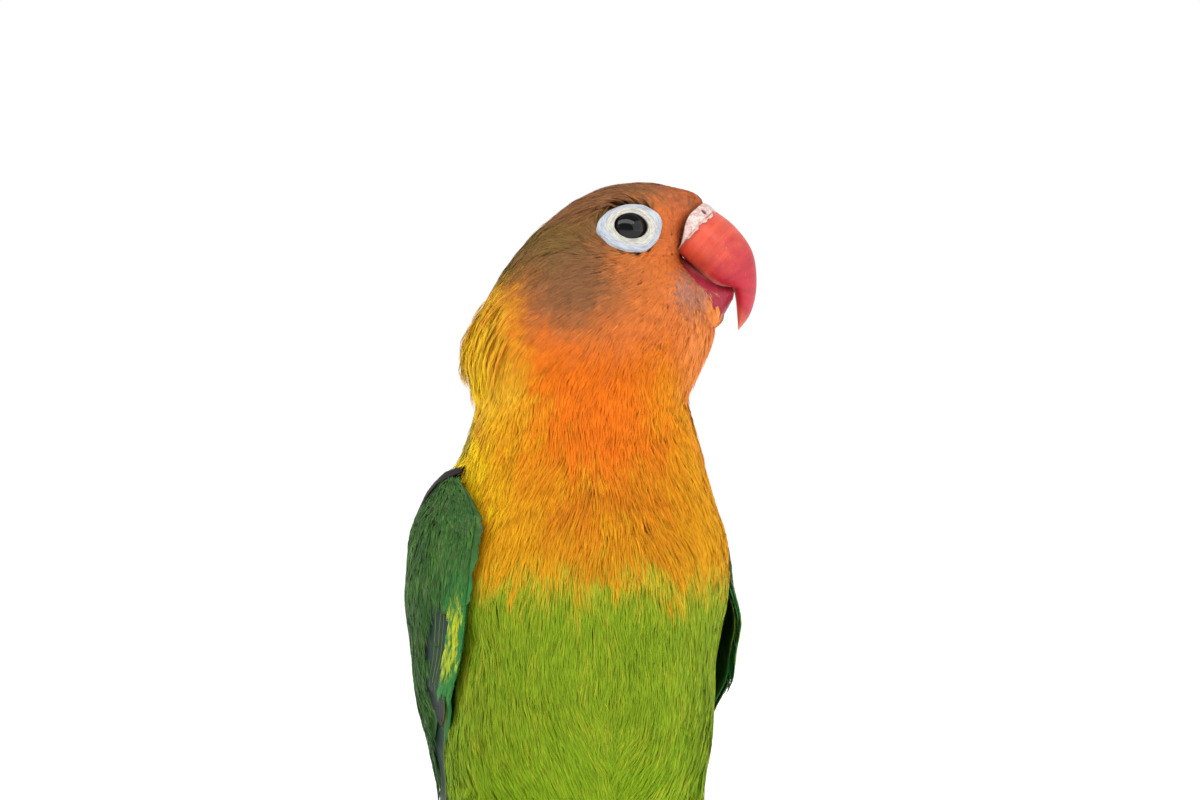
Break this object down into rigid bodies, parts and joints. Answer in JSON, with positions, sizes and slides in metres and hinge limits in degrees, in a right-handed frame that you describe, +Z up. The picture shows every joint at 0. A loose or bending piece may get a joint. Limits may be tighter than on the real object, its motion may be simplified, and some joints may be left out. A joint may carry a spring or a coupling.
{
  "type": "fischer's lovebird",
  "caption": "Still, life-size small parrot standing upright with folded wings, head turned to its left, red hooked bill, white eye rings, orange head and green body.",
  "frame": {"origin": "on the floor under the middle of the whole bird's box", "axes": "+Z up; the breast faces -Y; the bird's own left side is +X"},
  "size_m": [0.0496, 0.0784, 0.122],
  "materials": {
    "plumage_orange": "soft, fine-barbed body feathers",
    "plumage_green": "soft, fine-barbed body feathers",
    "wing_feathers": "smooth overlapping vanes",
    "tail_feathers": "smooth overlapping vanes",
    "bill_horn": "satin horn, faintly scored",
    "cere_skin": "swollen, finely wrinkled skin",
    "eye_ring_skin": "bare, finely wrinkled skin",
    "eye_surface": "wet gloss",
    "foot_skin": "dry scaled skin",
    "claw_horn": "satin horn"
  },
  "bodies": {
    "root": {"head": "plumage_orange", "neck": "plumage_orange", "torso": "plumage_green", "bill_upper": "bill_horn", "bill_lower": "bill_horn", "cere": "cere_skin", "eye_ring_left": "eye_ring_skin", "eye_ring_right": "eye_ring_skin", "eye_left": "eye_surface", "eye_right": "eye_surface", "wing_left": "wing_feathers", "wing_right": "wing_feathers", "tail": "tail_feathers", "thigh_left": "plumage_green", "thigh_right": "plumage_green", "foot_left": "foot_skin", "foot_right": "foot_skin", "claw_left_inner_front": "claw_horn", "claw_left_outer_front": "claw_horn", "claw_left_outer_back": "claw_horn", "claw_left_inner_back": "claw_horn", "claw_right_inner_front": "claw_horn", "claw_right_outer_front": "claw_horn", "claw_right_outer_back": "claw_horn", "claw_right_inner_back": "claw_horn"}
  },
  "joints": []
}
